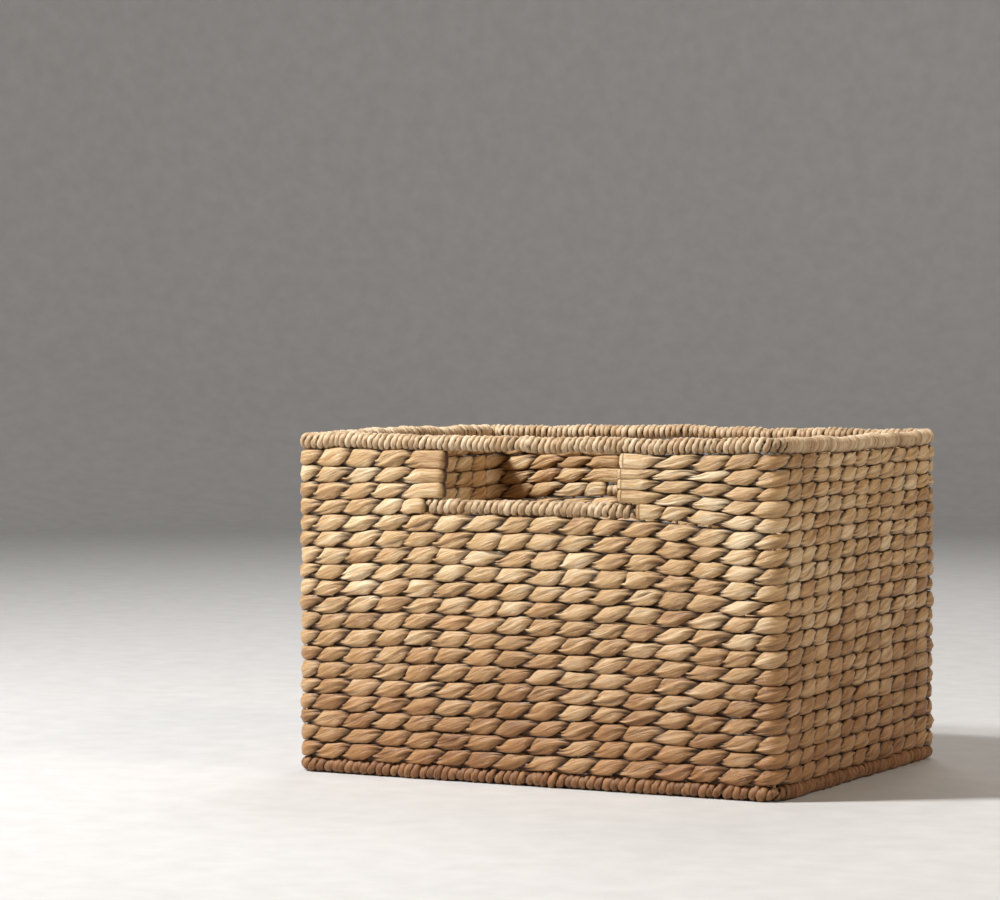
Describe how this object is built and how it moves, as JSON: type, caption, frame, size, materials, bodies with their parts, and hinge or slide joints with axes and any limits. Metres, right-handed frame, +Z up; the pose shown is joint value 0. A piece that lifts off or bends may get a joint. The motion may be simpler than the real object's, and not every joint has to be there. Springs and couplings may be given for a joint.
{
  "type": "laundry basket",
  "caption": "Rectangular open-top basket of twined plant fibre on a wire frame, with wrapped rims and a hand opening with a wrapped bar in each long wall.",
  "frame": {"origin": "on the floor, under the middle of the basket's bounding box", "axes": "+X along the long walls, +Y from the front long wall to the back long wall, +Z up"},
  "size_m": [0.457, 0.356, 0.292],
  "materials": {
    "woven_fibre": "dried water hyacinth stalks, two-ply, straw to tan, satin",
    "wound_fibre": "thin two-ply cord of the same fibre wound closely round a rod",
    "frame_wire": "iron rod and wire, dull brown lacquer"
  },
  "bodies": {
    "root": {"back_handle_rod": "frame_wire", "back_handle_wrap": "wound_fibre", "back_opening_side_wires": "frame_wire", "back_stakes": "frame_wire", "back_under_bar_stakes": "frame_wire", "corner_posts": "frame_wire", "course_01": "woven_fibre", "course_02": "woven_fibre", "course_03": "woven_fibre", "course_04": "woven_fibre", "course_05": "woven_fibre", "course_06": "woven_fibre", "course_07": "woven_fibre", "course_08": "woven_fibre", "course_09": "woven_fibre", "course_10": "woven_fibre", "course_11": "woven_fibre", "course_12": "woven_fibre", "course_13": "woven_fibre", "course_14": "woven_fibre", "course_15": "woven_fibre", "floor_courses": "woven_fibre", "floor_wires": "frame_wire", "foot_rod": "frame_wire", "foot_wrap": "wound_fibre", "front_handle_rod": "frame_wire", "front_handle_wrap": "wound_fibre", "front_opening_side_wires": "frame_wire", "front_stakes": "frame_wire", "front_under_bar_stakes": "frame_wire", "left_run_1": "woven_fibre", "left_run_2": "woven_fibre", "left_run_3": "woven_fibre", "left_run_4": "woven_fibre", "left_stakes": "frame_wire", "right_run_1": "woven_fibre", "right_run_2": "woven_fibre", "right_run_3": "woven_fibre", "right_run_4": "woven_fibre", "right_run_5": "woven_fibre", "right_stakes": "frame_wire", "rim_rod": "frame_wire", "rim_wrap": "wound_fibre"}
  },
  "joints": []
}
